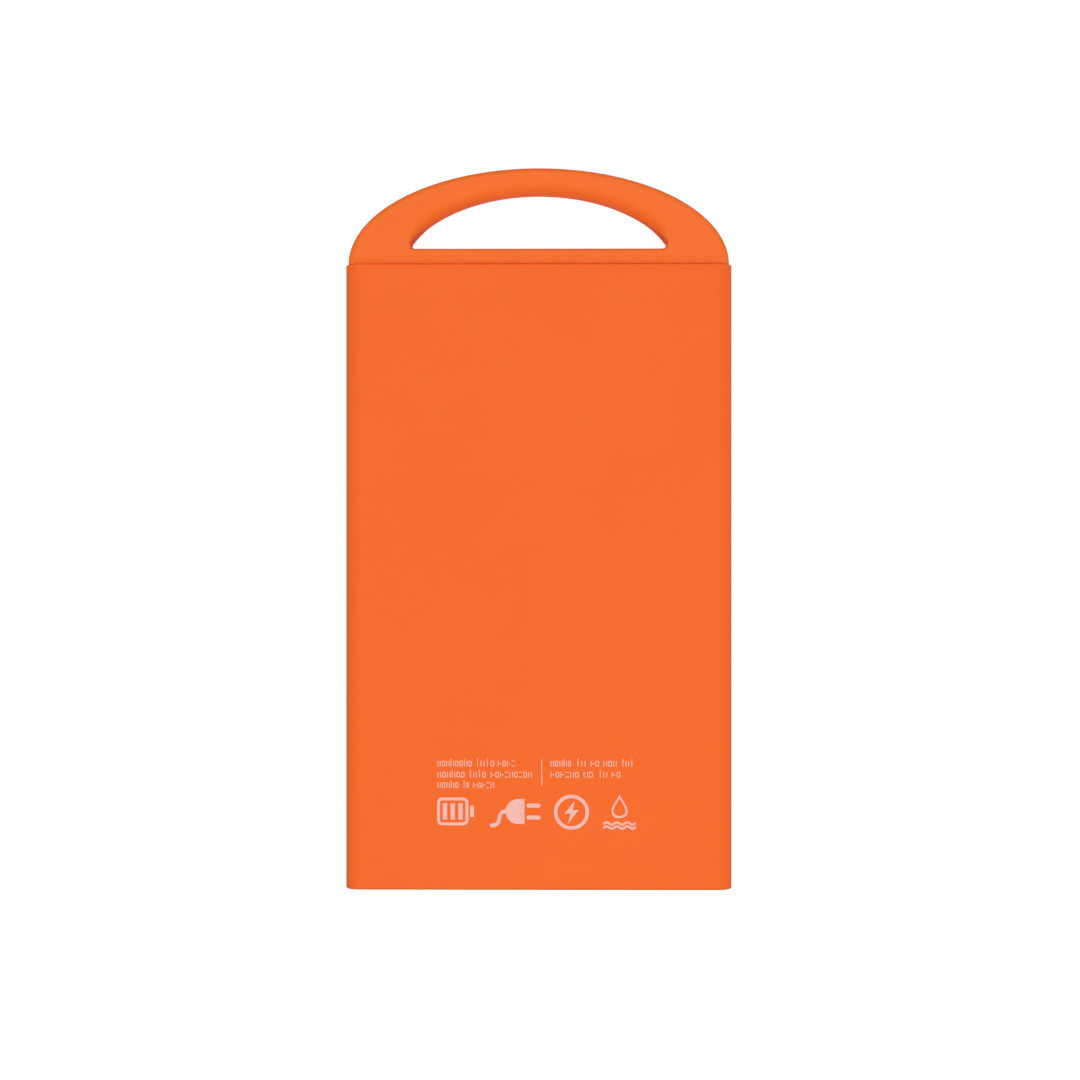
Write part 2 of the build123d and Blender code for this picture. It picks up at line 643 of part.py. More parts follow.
# ============================================================== tact switch
# Side-push switch on the board: frame with a chamber, plunger and snap dome.
sw_z0 = z_board_top
sw_h = 3.0
sw_mid = sw_z0 + sw_h / 2
with BuildPart() as switch_frame:
    with BuildSketch(section(-56.0, sw_mid, button_x)):
        RectangleRounded(6.0, sw_h, 0.2)
    extrude(amount=-3.0)
    with BuildSketch(section(-55.6, sw_mid, button_x)):
        Rectangle(4.4, 2.3)
    extrude(amount=-2.0, mode=Mode.SUBTRACT)
    with BuildSketch(section(-56.0, sw_mid, button_x)):
        RectangleRounded(2.7, 1.5, 0.2)
    extrude(amount=-0.5, mode=Mode.SUBTRACT)
switch_frame.part.label = "switch_frame"
export_step(switch_frame.part, "parts/switch_frame.step")

with BuildPart() as switch_plunger:
    with BuildSketch(section(y_plunger, sw_mid, button_x)):
        RectangleRounded(2.4, 1.2, 0.2)
    extrude(amount=-(-55.5 - y_plunger))
    with BuildSketch(section(-55.5, sw_mid, button_x)):
        RectangleRounded(3.6, 1.9, 0.2)
    extrude(amount=-1.2)
switch_plunger.part.label = "switch_plunger"
export_step(switch_plunger.part, "parts/switch_plunger.step")

# Snap dome: shallow spherical disc that springs the plunger back.
dome_h, dome_rim_r, dome_t = 0.5, 1.1, 0.1
dome_R = (dome_rim_r ** 2 + dome_h ** 2) / (2 * dome_h)
y_dome_rim = -53.62
with BuildPart() as switch_dome:
    with BuildSketch(Plane((button_x, y_dome_rim, sw_mid), x_dir=(1, 0, 0), z_dir=(0, 0, 1))):
        with BuildLine():
            outer = ThreePointArc((dome_rim_r, 0),
                                  (dome_rim_r / 2, -(dome_R ** 2 - dome_rim_r ** 2 / 4) ** 0.5 + dome_R - dome_h),
                                  (0, -dome_h))
            Line((0, -dome_h), (0, -dome_h + dome_t))
            ThreePointArc((0, -dome_h + dome_t),
                          (dome_rim_r / 2 - 0.04,
                           -(dome_R ** 2 - dome_rim_r ** 2 / 4) ** 0.5 + dome_R - dome_h + dome_t),
                          (dome_rim_r - dome_t, 0))
            Line((dome_rim_r - dome_t, 0), (dome_rim_r, 0))
        make_face()
    revolve(axis=Axis((button_x, y_dome_rim, sw_mid), (0, 1, 0)))
switch_dome.part.label = "switch_dome"
export_step(switch_dome.part, "parts/switch_dome.step")
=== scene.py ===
import math

import bmesh
import bpy
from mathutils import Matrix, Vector


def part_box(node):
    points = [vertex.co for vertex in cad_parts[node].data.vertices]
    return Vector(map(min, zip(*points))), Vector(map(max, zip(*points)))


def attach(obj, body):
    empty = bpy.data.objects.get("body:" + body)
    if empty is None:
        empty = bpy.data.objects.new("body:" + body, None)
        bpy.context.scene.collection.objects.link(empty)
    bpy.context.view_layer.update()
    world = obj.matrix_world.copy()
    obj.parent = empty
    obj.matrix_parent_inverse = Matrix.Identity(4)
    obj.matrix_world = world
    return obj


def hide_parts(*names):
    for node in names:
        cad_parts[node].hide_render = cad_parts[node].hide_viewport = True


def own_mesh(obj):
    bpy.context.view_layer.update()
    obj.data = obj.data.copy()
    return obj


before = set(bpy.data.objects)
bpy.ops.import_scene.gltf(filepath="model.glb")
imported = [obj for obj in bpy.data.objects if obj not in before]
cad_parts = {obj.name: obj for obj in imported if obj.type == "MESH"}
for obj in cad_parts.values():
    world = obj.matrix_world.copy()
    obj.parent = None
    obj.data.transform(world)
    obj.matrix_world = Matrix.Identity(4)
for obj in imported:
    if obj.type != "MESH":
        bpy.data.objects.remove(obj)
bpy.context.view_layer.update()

MM = 0.001
HOUSING, BUTTON = "housing", "button"

# Places read from the frame, in metres
SLEEVE_LO, SLEEVE_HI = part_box("outer_sleeve")
HANDLE_LO, HANDLE_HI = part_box("handle_cap")
CAP_LO, CAP_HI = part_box("port_end_cap")
Y_SEAM = SLEEVE_HI.y
Y_PORT = SLEEVE_LO.y
Z_FACE = SLEEVE_HI.z
Z_MID = (SLEEVE_LO.z + SLEEVE_HI.z) / 2


# =====================================================================================
# materials
# =====================================================================================
def new_mat(name):
    m = bpy.data.materials.new(name)
    m.use_nodes = True
    nt = m.node_tree
    nt.nodes.clear()
    out = nt.nodes.new("ShaderNodeOutputMaterial")
    bsdf = nt.nodes.new("ShaderNodeBsdfPrincipled")
    nt.links.new(bsdf.outputs[0], out.inputs[0])
    return m, nt, bsdf


def object_coords(nt):
    return nt.nodes.new("ShaderNodeTexCoord").outputs["Object"]


def mapped(nt, vec, scale=(1, 1, 1), rot=(0, 0, 0), loc=(0, 0, 0)):
    n = nt.nodes.new("ShaderNodeMapping")
    n.inputs["Scale"].default_value = scale
    n.inputs["Rotation"].default_value = rot
    n.inputs["Location"].default_value = loc
    nt.links.new(vec, n.inputs["Vector"])
    return n.outputs[0]


def noise(nt, vec, scale, detail=2.0, rough=0.5, distortion=0.0):
    n = nt.nodes.new("ShaderNodeTexNoise")
    n.inputs["Scale"].default_value = scale
    n.inputs["Detail"].default_value = detail
    n.inputs["Roughness"].default_value = rough
    n.inputs["Distortion"].default_value = distortion
    nt.links.new(vec, n.inputs["Vector"])
    return n.outputs["Fac"]


def ramp(nt, fac, lo, hi, a=0.0, b=1.0):
    n = nt.nodes.new("ShaderNodeMapRange")
    n.inputs["From Min"].default_value = lo
    n.inputs["From Max"].default_value = hi
    n.inputs["To Min"].default_value = a
    n.inputs["To Max"].default_value = b
    nt.links.new(fac, n.inputs["Value"])
    return n.outputs[0]


def mix_color(nt, fac, a, b):
    n = nt.nodes.new("ShaderNodeMix")
    n.data_type = "RGBA"
    for value, socket in ((a, n.inputs[6]), (b, n.inputs[7])):
        if isinstance(value, tuple):
            socket.default_value = (*value, 1.0)
        else:
            nt.links.new(value, socket)
    if isinstance(fac, float):
        n.inputs[0].default_value = fac
    else:
        nt.links.new(fac, n.inputs[0])
    return n.outputs[2]


def math_node(nt, op, a, b=None):
    n = nt.nodes.new("ShaderNodeMath")
    n.operation = op
    for value, socket in ((a, n.inputs[0]), (b, n.inputs[1])):
        if value is None:
            continue
        if isinstance(value, (int, float)):
            socket.default_value = value
        else:
            nt.links.new(value, socket)
    return n.outputs[0]


def bump(nt, bsdf, height, distance, strength=1.0):
    n = nt.nodes.new("ShaderNodeBump")
    n.inputs["Strength"].default_value = strength
    n.inputs["Distance"].default_value = distance
    nt.links.new(height, n.inputs["Height"])
    nt.links.new(n.outputs[0], bsdf.inputs["Normal"])


def moulded(name, base, light, dark, rough=0.5, specular=0.3, grain=0.0, grain_size=0.25,
            mottle_size=4.0, rough_var=0.05, sheen=0.0, coat=0.0):
    """Paint or moulded plastic: a soft mottle between two close colours, a fine
    grain in the surface and roughness that wanders a little. Sizes in mm."""
    m, nt, b = new_mat(name)
    vec = object_coords(nt)
    broad = noise(nt, vec, 1000.0 / mottle_size, 3.0, 0.55)
    fine = noise(nt, vec, 1000.0 / grain_size, 2.0, 0.5)
    c = mix_color(nt, ramp(nt, broad, 0.35, 0.65), dark, light)
    c = mix_color(nt, ramp(nt, fine, 0.30, 0.70, 0.35, 0.65), c, base)
    nt.links.new(c, b.inputs["Base Color"])
    nt.links.new(ramp(nt, broad, 0.3, 0.7, rough - rough_var, rough + rough_var), b.inputs["Roughness"])
    b.inputs["Specular IOR Level"].default_value = specular
    if sheen:
        b.inputs["Sheen Weight"].default_value = sheen
        b.inputs["Sheen Roughness"].default_value = 0.45
    if coat:
        b.inputs["Coat Weight"].default_value = coat
        b.inputs["Coat Roughness"].default_value = 0.25
    if grain:
        bump(nt, b, fine, grain * MM, 1.0)
    return m


def metal(name, color, rough=0.3, streak=(60, 4000, 4000), streak_depth=0.0, tint=0.06, specular=0.5):
    m, nt, b = new_mat(name)
    vec = mapped(nt, object_coords(nt), scale=streak)
    s = noise(nt, vec, 1.0, 3.0, 0.6)
    d = tuple(c * (1 - tint) for c in color)
    l = tuple(min(1.0, c * (1 + tint)) for c in color)
    nt.links.new(mix_color(nt, s, d, l), b.inputs["Base Color"])
    nt.links.new(ramp(nt, s, 0.3, 0.7, rough * 0.8, rough * 1.2), b.inputs["Roughness"])
    b.inputs["Metallic"].default_value = 1.0
    b.inputs["Specular IOR Level"].default_value = specular
    if streak_depth:
        bump(nt, b, s, streak_depth * MM, 1.0)
    return m


# soft-touch paint on the sleeve, and the satin plastic of handle and end cap
SLEEVE_BASE = (0.817, 0.1290, 0.0186)
HANDLE_BASE = (0.822, 0.1480, 0.0215)


def tone(color, k):
    return tuple(min(1.0, c * f) for c, f in zip(color, k))


def soft_touch_paint():
    m, nt, b = new_mat("soft_touch_orange")
    vec = object_coords(nt)
    broad = noise(nt, vec, 55.0, 3.0, 0.5)
    mid = noise(nt, vec, 420.0, 3.0, 0.55)
    fine = noise(nt, vec, 3600.0, 2.0, 0.5)
    c = mix_color(nt, ramp(nt, broad, 0.35, 0.65), tone(SLEEVE_BASE, (0.985, 0.97, 0.97)),
                  tone(SLEEVE_BASE, (1.01, 1.03, 1.05)))
    c = mix_color(nt, ramp(nt, mid, 0.35, 0.65, 0.0, 0.55), c, tone(SLEEVE_BASE, (1.0, 1.035, 1.12)))
    c = mix_color(nt, ramp(nt, fine, 0.35, 0.65, 0.0, 0.30), c, tone(SLEEVE_BASE, (0.97, 0.95, 0.9)))
    # painted shade and painted highlight: the colour is darkened in a band at the cut port end, which faces away
    # from the light, and lightened in a fine band just under the handle rim, where the rim edge catches the light
    split = nt.nodes.new("ShaderNodeSeparateXYZ")
    nt.links.new(vec, split.inputs[0])
    for start, end, painted_shade_highlight_tone in ((Y_PORT + 0.45 * MM, Y_PORT, (0.66, 0.84, 0.90)),
                            (Y_SEAM - 0.38 * MM, Y_SEAM - 0.18 * MM, (1.19, 1.065, 1.25))):
        span = nt.nodes.new("ShaderNodeMapRange")
        span.interpolation_type = "SMOOTHSTEP"
        for socket, value in zip(("From Min", "From Max", "To Min", "To Max"), (start, end, 0.0, 1.0)):
            span.inputs[socket].default_value = value
        nt.links.new(split.outputs["Y"], span.inputs["Value"])
        c = mix_color(nt, span.outputs["Result"], c, tone(SLEEVE_BASE, painted_shade_highlight_tone))
    nt.links.new(c, b.inputs["Base Color"])
    r = math_node(nt, "ADD", ramp(nt, mid, 0.3, 0.7, 0.47, 0.53), ramp(nt, fine, 0.3, 0.7, -0.03, 0.03))
    nt.links.new(r, b.inputs["Roughness"])
    b.inputs["Specular IOR Level"].default_value = 0.07
    height = math_node(nt, "ADD", fine, math_node(nt, "MULTIPLY", mid, 0.6))
    bump(nt, b, height, 0.006 * MM, 1.0)
    return m


MAT = {
    "sleeve": soft_touch_paint(),
    "handle": moulded("handle_satin_orange", HANDLE_BASE, tone(HANDLE_BASE, (1.01, 1.03, 1.05)),
                      tone(HANDLE_BASE, (0.985, 0.97, 0.96)), rough=0.47, specular=0.09, grain=0.005,
                      grain_size=0.22, mottle_size=3.5, rough_var=0.04),
    "cap": moulded("end_cap_satin_orange", HANDLE_BASE, tone(HANDLE_BASE, (1.01, 1.03, 1.05)),
                   tone(HANDLE_BASE, (0.985, 0.97, 0.96)), rough=0.48, specular=0.24, grain=0.007,
                   grain_size=0.20, mottle_size=3.0, rough_var=0.04),
    "button": moulded("button_grey", (0.36, 0.36, 0.355), (0.38, 0.38, 0.375), (0.34, 0.34, 0.335),
                      rough=0.35, specular=0.5, grain=0.002, grain_size=0.15, mottle_size=1.5),
    "ink": moulded("print_ink", (0.775, 0.42, 0.355), (0.805, 0.45, 0.38), (0.755, 0.39, 0.325),
                   rough=0.5, specular=0.35, grain=0.002, grain_size=0.12, mottle_size=0.9),
    "ink_fine": moulded("print_ink_fine", (0.79, 0.40, 0.29), (0.82, 0.425, 0.315), (0.765, 0.375, 0.265),
                        rough=0.5, specular=0.35, grain=0.002, grain_size=0.12, mottle_size=0.9),
    "black_plastic": moulded("moulded_black", (0.018, 0.018, 0.019), (0.026, 0.026, 0.028),
                             (0.012, 0.012, 0.013), rough=0.5, specular=0.5, grain=0.006, grain_size=0.2),
    "chassis": moulded("chassis_black", (0.022, 0.022, 0.024), (0.03, 0.03, 0.032), (0.016, 0.016, 0.017),
                       rough=0.6, specular=0.4, grain=0.01, grain_size=0.3),
    "chip": moulded("chip_epoxy", (0.02, 0.02, 0.021), (0.028, 0.028, 0.03), (0.014, 0.014, 0.015),
                    rough=0.62, specular=0.4, grain=0.004, grain_size=0.08, mottle_size=0.8),
    "board": moulded("board_laminate_green", (0.012, 0.085, 0.036), (0.016, 0.10, 0.045),
                     (0.009, 0.07, 0.03), rough=0.3, specular=0.55, grain=0.004, grain_size=0.4,
                     mottle_size=1.2),
    "ceramic": moulded("capacitor_ceramic", (0.34, 0.22, 0.13), (0.38, 0.25, 0.15), (0.30, 0.19, 0.11),
                       rough=0.4, specular=0.5, grain=0.002, grain_size=0.1, mottle_size=0.6),
    "ferrite": moulded("ferrite_grey", (0.055, 0.055, 0.06), (0.07, 0.07, 0.075), (0.04, 0.04, 0.044),
                       rough=0.7, specular=0.4, grain=0.012, grain_size=0.12, mottle_size=0.7),
    "led": moulded("led_lens", (0.80, 0.85, 0.90), (0.84, 0.88, 0.93), (0.76, 0.81, 0.86), rough=0.2,
                   specular=0.5, grain=0.001, grain_size=0.2, mottle_size=0.8),
    "tape": moulded("polyimide_amber", (0.52, 0.22, 0.02), (0.58, 0.26, 0.03), (0.46, 0.18, 0.015),
                    rough=0.2, specular=0.6, grain=0.004, grain_size=0.8, mottle_size=2.0),
    "pad": moulded("adhesive_white", (0.76, 0.76, 0.73), (0.80, 0.80, 0.77), (0.72, 0.72, 0.69),
                   rough=0.75, specular=0.3, grain=0.02, grain_size=0.4),
    "foam": moulded("foam_black", (0.025, 0.025, 0.026), (0.04, 0.04, 0.042), (0.012, 0.012, 0.013),
                    rough=0.95, specular=0.15, grain=0.08, grain_size=0.35, mottle_size=0.8),
    "film": moulded("film_black", (0.016, 0.016, 0.016), (0.02, 0.02, 0.021), (0.012, 0.012, 0.012),
                    rough=0.28, specular=0.5, grain=0.003, grain_size=1.2),
    "lead_red": moulded("lead_red", (0.45, 0.018, 0.012), (0.50, 0.022, 0.015), (0.40, 0.014, 0.01),
                        rough=0.4, specular=0.45, grain=0.003, grain_size=0.3, mottle_size=1.0),
    "lead_black": moulded("lead_black", (0.014, 0.014, 0.014), (0.02, 0.02, 0.02), (0.01, 0.01, 0.01),
                          rough=0.4, specular=0.45, grain=0.003, grain_size=0.3, mottle_size=1.0),
    "foil": metal("pouch_foil", (0.62, 0.63, 0.65), 0.32, streak=(300, 900, 900), streak_depth=0.01, tint=0.05),
    "screw": metal("screw_steel", (0.66, 0.655, 0.645), 0.36, streak=(2500, 2500, 2500), streak_depth=0.002),
    "socket": metal("socket_nickel", (0.82, 0.82, 0.82), 0.34, streak=(3500, 120, 3500), streak_depth=0.0004,
                    tint=0.05),
    "tab_al": metal("tab_aluminium", (0.76, 0.76, 0.77), 0.3, streak=(800, 200, 800)),
    "tab_ni": metal("tab_nickel", (0.60, 0.57, 0.52), 0.3, streak=(800, 200, 800)),
    "gold": metal("gold_flash", (0.95, 0.68, 0.30), 0.28, streak=(3000, 200, 3000), tint=0.05),
    "copper": metal("copper_winding", (0.70, 0.27, 0.11), 0.35, streak=(200, 200, 9000), streak_depth=0.03),
}


def clear_guide():
    m, nt, b = new_mat("light_guide_clear")
    vec = object_coords(nt)
    haze = noise(nt, vec, 1400.0, 2.0, 0.5)
    nt.links.new(mix_color(nt, haze, (0.86, 0.88, 0.90), (0.93, 0.95, 0.97)), b.inputs["Base Color"])
    nt.links.new(ramp(nt, haze, 0.3, 0.7, 0.16, 0.26), b.inputs["Roughness"])
    b.inputs["Transmission Weight"].default_value = 0.45
    b.inputs["IOR"].default_value = 1.49
    return m


MAT["guide"] = clear_guide()

NODE_MAT = {
    "outer_sleeve": "sleeve", "handle_cap": "handle", "port_end_cap": "cap", "end_cap_screws": "screw",
    "inner_chassis": "chassis", "handle_screws": "screw", "battery_cell": "foil",
    "cell_tab_positive": "tab_al", "cell_tab_negative": "tab_ni", "protection_board": "board",
    "protection_ic": "chip", "protection_mosfet": "chip", "terminal_tape": "tape",
    "cell_adhesive_pad": "pad", "cell_end_foam": "foam", "insulation_film": "film",
    "positive_lead": "lead_red", "negative_lead": "lead_black", "main_board": "board",
    "board_screws": "screw", "usb_a_shell": "socket", "usb_a_tongue": "black_plastic",
    "usb_a_contacts": "gold", "micro_usb_shell": "socket", "micro_usb_tongue": "black_plastic",
    "micro_usb_contacts": "gold", "inductor_core": "ferrite", "inductor_winding": "copper",
    "power_controller_ic": "chip", "rectifier_diode": "chip", "filter_capacitors": "ceramic",
    "chip_resistors": "chip", "indicator_leds": "led", "light_guide": "guide", "power_button": "button",
    "switch_frame": "socket", "switch_plunger": "black_plastic", "switch_dome": "socket",
}
for node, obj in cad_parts.items():
    obj.data.materials.clear()
    obj.data.materials.append(MAT[NODE_MAT[node]])


# =====================================================================================
# handle: half-elliptical arch whose grip edge is softly rounded round the arch and
# tightens to a small radius along the straight bar
# =====================================================================================
def smooth(t):
    t = max(0.0, min(1.0, t))
    return t * t * (3 - 2 * t)


def rounded(x0, y0, x1, y1, r, n=5):
    r = min(r, (x1 - x0) / 2, (y1 - y0) / 2)
    pts = []
    for cx, cy, a0 in ((x1 - r, y0 + r, -90), (x1 - r, y1 - r, 0), (x0 + r, y1 - r, 90), (x0 + r, y0 + r, 180)):
        for i in range(n + 1):
            a = math.radians(a0 + 90 * i / n)
            pts.append((cx + r * math.cos(a), cy + r * math.sin(a)))
    return pts


def opening_outline(a, b, drop, bar, corner, n_arc=180, n_bar=72, n_corner=14):
    """Points of the finger opening, anticlockwise from the middle of the bar, in mm
    from the middle of the rim. The arch is an ellipse centred below the rim. Each
    point is (x, y, nx, ny), with the normal pointing into the opening."""
    def gap(cx):
        cy = bar + corner
        return min(math.hypot(a * math.cos(t) - cx, b * math.sin(t) - drop - cy)
                   for t in (math.pi / 2 * i / 800 for i in range(801))) - corner
    lo, hi = 0.0, a
    for _ in range(40):
        m = (lo + hi) / 2
        if gap(m) > 0:
            lo = m
        else:
            hi = m
    cx, cy = lo, bar + corner
    t0 = min((math.pi / 2 * i / 8000 for i in range(8001)),
             key=lambda t: math.hypot(a * math.cos(t) - cx, b * math.sin(t) - drop - cy))
    end = math.atan2(b * math.sin(t0) - drop - cy, a * math.cos(t0) - cx)
    pts = []
    half = n_bar // 2
    for i in range(half):                                    # bar, middle to right corner
        pts.append((cx * i / half, bar, 0.0, 1.0))
    for i in range(n_corner):                                # right corner
        th = -math.pi / 2 + (end + math.pi / 2) * i / n_corner
        pts.append((cx + corner * math.cos(th), cy + corner * math.sin(th), -math.cos(th), -math.sin(th)))
    for i in range(n_arc + 1):                               # arch, right to left
        t = t0 + (math.pi - 2 * t0) * i / n_arc
        nx, ny = math.cos(t) / a, math.sin(t) / b
        k = math.hypot(nx, ny)
        pts.append((a * math.cos(t), b * math.sin(t) - drop, -nx / k, -ny / k))
    for i in range(1, n_corner + 1):                         # left corner
        th = (math.pi - end) + (math.pi * 1.5 - (math.pi - end)) * i / n_corner
        pts.append((-cx + corner * math.cos(th), cy + corner * math.sin(th), -math.cos(th), -math.sin(th)))
    for i in range(1, half):                                 # bar, left corner to middle
        pts.append((-cx + cx * i / half, bar, 0.0, 1.0))
    return pts


def build_handle():
    A = (HANDLE_HI.x - HANDLE_LO.x) / 2 / MM
    B = (HANDLE_HI.y - Y_SEAM) / MM
    T = (HANDLE_HI.z - HANDLE_LO.z) / 2 / MM
    r_arch, r_bar, r_out, r_base, seam_gap = 3.05, 0.5, 0.85, 0.18, 0.045
    inner = opening_outline(24.18, 14.58, 2.62, 2.67, 0.85)
    n = len(inner)

    # grip edge radius for every column of the opening
    cols = []
    for x, y, nx, ny in inner:
        r = r_bar if ny > 0.98 else r_bar + (r_arch - r_bar) * smooth((y - 3.3) / 3.6)
        cols.append((x, y, nx, ny, r))

    # partner of each column on the outline: ellipse for the arch, seam line for the bar
    arch = [i for i, c in enumerate(cols) if c[3] < 0.25]
    first, last = arch[0], arch[-1]
    partner = [None] * n
    for i in range(first, last + 1):
        s = (i - first) / (last - first)
        t = math.pi * (s - 0.05 * math.sin(2 * math.pi * s))
        c, sn = math.cos(t), math.sin(t)
        k = math.hypot(c / A, sn / B)
        onx, ony = c / A / k, sn / B / k
        # square to the seam plane at both ends
        f = smooth(sn * B / 1.2)
        onx, ony = (onx * f + math.copysign(1.0, c) * (1 - f)) if f < 1 else onx, ony * f
        k = math.hypot(onx, ony)
        partner[i] = (A * c, max(B * sn, seam_gap), onx / k, ony / k, r_out)
    right = [i for i in range(n) if partner[i] is None and i < first]
    left = [i for i in range(n) if partner[i] is None and i > last]
    top = A - r_out
    for j, i in enumerate(right):
        x = top * j / (len(right) - 1)
        partner[i] = (x, seam_gap, 0.0, -1.0, r_base * smooth((top - abs(x)) / 2.5))
    for j, i in enumerate(left):
        x = -top * (1 - j / len(left))
        partner[i] = (x, seam_gap, 0.0, -1.0, r_base * smooth((top - abs(x)) / 2.5))

    NF, NTOP, NOF, NW = 18, 10, 10, 3

    def column(i):
        x, y, nx, ny, r = cols[i]
        ox, oy, onx, ony, ro = partner[i]
        pts = []
        for k in range(NW):                                  # wall of the opening
            pts.append((x, y, (T - r) * k / NW))
        for k in range(NF + 1):                              # grip edge
            ph = math.pi / 2 * k / NF
            d = r * (1 - math.cos(ph))
            pts.append((x - nx * d, y - ny * d, T - r + r * math.sin(ph)))
        qx, qy = x - nx * r, y - ny * r
        wx, wy = ox - onx * ro, oy - ony * ro
        for k in range(1, NTOP):                             # flat face
            f = k / NTOP
            pts.append((qx + (wx - qx) * f, qy + (wy - qy) * f, T))
        for k in range(NOF + 1):                             # outer edge
            ph = math.pi / 2 * k / NOF
            d = ro * math.sin(ph)
            pts.append((wx + onx * d, wy + ony * d, T - ro + ro * math.cos(ph)))
        for k in range(1, NW):                               # outer wall
            pts.append((ox, oy, (T - ro) * (1 - k / NW)))
        pts.append((ox, oy, 0.0))
        return pts

    bm = bmesh.new()
    up, dn = [], []
    for i in range(n):
        col = column(i)
        up.append([bm.verts.new((x * MM, Y_SEAM + y * MM, Z_MID + z * MM)) for x, y, z in col])
        dn.append([up[-1][k] if k in (0, len(col) - 1) else
                   bm.verts.new((x * MM, Y_SEAM + y * MM, Z_MID - z * MM))
                   for k, (x, y, z) in enumerate(col)])
    rows = len(up[0])
    for i in range(n):
        j = (i + 1) % n
        for k in range(rows - 1):
            bm.faces.new((up[i][k], up[i][k + 1], up[j][k + 1], up[j][k]))
            bm.faces.new((dn[i][k + 1], dn[i][k], dn[j][k], dn[j][k + 1]))

    # spigot that plugs the open end of the tube
    sx, sz, depth = 31.30, 3.65, 5.0
    ring = rounded(-sx, -sz, sx, sz, 1.5, 8)
    levels = [(0.30, 0.0), (-depth + 0.3, 0.0), (-depth, 0.3)]
    loops = []
    for y, inset in levels:
        k = (sx - inset) / sx, (sz - inset) / sz
        loops.append([bm.verts.new((x * k[0] * MM, Y_SEAM + y * MM, Z_MID + z * k[1] * MM)) for x, z in ring])
    m = len(ring)
    for a, b in zip(loops, loops[1:]):
        for i in range(m):
            bm.faces.new((a[i], a[(i + 1) % m], b[(i + 1) % m], b[i]))
    bm.faces.new(loops[0])
    bm.faces.new(loops[-1][::-1])

    bmesh.ops.remove_doubles(bm, verts=bm.verts, dist=2e-7)
    bmesh.ops.dissolve_degenerate(bm, edges=bm.edges, dist=2e-7)
    bmesh.ops.recalc_face_normals(bm, faces=bm.faces)
    for f in bm.faces:
        f.smooth = True
    for e in bm.edges:
        if len(e.link_faces) == 2 and e.calc_face_angle(0.0) > math.radians(38):
            e.smooth = False
    me = bpy.data.meshes.new("carry_handle")
    bm.to_mesh(me)
    bm.free()
    o = bpy.data.objects.new("carry_handle", me)
    bpy.context.scene.collection.objects.link(o)
    return o


handle = build_handle()
handle.data.materials.append(MAT["handle"])
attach(handle, HOUSING)
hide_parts("handle_cap")


# =====================================================================================
# printed block near the end of the face: bars in place of text, and plain pictograms
# =====================================================================================
def ink_piece(name, loops, mat, lift=0.012):
    """Flat print from closed 2D loops in mm (face coordinates). Loops inside loops are holes."""
    cu = bpy.data.curves.new(name, "CURVE")
    cu.dimensions = "2D"
    cu.fill_mode = "BOTH"
    for loop in loops:
        s = cu.splines.new("POLY")
        s.points.add(len(loop) - 1)
        for p, (x, y) in zip(s.points, loop):
            p.co = (x * MM, y * MM, 0.0, 1.0)
        s.use_cyclic_u = True
    cu.extrude = lift * MM / 2
    tmp = bpy.data.objects.new(name + "_curve", cu)
    bpy.context.scene.collection.objects.link(tmp)
    bpy.context.view_layer.update()
    dg = bpy.context.evaluated_depsgraph_get()
    me = bpy.data.meshes.new_from_object(tmp.evaluated_get(dg))
    bpy.data.objects.remove(tmp)
    bpy.data.curves.remove(cu)
    me.name = name
    for v in me.vertices:
        v.co.z += Z_FACE + lift * MM / 2
    me.materials.clear()
    me.materials.append(mat)
    o = bpy.data.objects.new(name, me)
    bpy.context.scene.collection.objects.link(o)
    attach(o, HOUSING)
    return o


def circle(cx, cy, r, n=48, squeeze=1.0):
    return [(cx + r * math.cos(2 * math.pi * i / n), cy + r * squeeze * math.sin(2 * math.pi * i / n)) for i in range(n)]


def stroke(pts, w, n=6):
    """Closed outline of a polyline drawn with a round pen of width w."""
    h = w / 2
    left, right = [], []
    for i, (x, y) in enumerate(pts):
        if i == 0:
            dx, dy = pts[1][0] - x, pts[1][1] - y
        elif i == len(pts) - 1:
            dx, dy = x - pts[-2][0], y - pts[-2][1]
        else:
            d1 = Vector((x - pts[i - 1][0], y - pts[i - 1][1])).normalized()
            d2 = Vector((pts[i + 1][0] - x, pts[i + 1][1] - y)).normalized()
            dx, dy = d1.x + d2.x, d1.y + d2.y
        k = math.hypot(dx, dy)
        nx, ny = -dy / k, dx / k
        m = 1.0
        if 0 < i < len(pts) - 1:
            d2 = Vector((pts[i + 1][0] - x, pts[i + 1][1] - y)).normalized()
            c = abs(nx * -d2.y + ny * d2.x)
            m = 1.0 / max(0.5, c)
        left.append((x + nx * h * m, y + ny * h * m))
        right.append((x - nx * h * m, y - ny * h * m))

    def cap(p, dx, dy):
        a0 = math.atan2(dy, dx)
        return [(p[0] + h * math.cos(a0 + math.pi / 2 - math.pi * i / n),
                 p[1] + h * math.sin(a0 + math.pi / 2 - math.pi * i / n)) for i in range(1, n)]
    end = cap(pts[-1], pts[-1][0] - pts[-2][0], pts[-1][1] - pts[-2][1])
    start = cap(pts[0], pts[0][0] - pts[1][0], pts[0][1] - pts[1][1])
    return left + end + right[::-1] + start


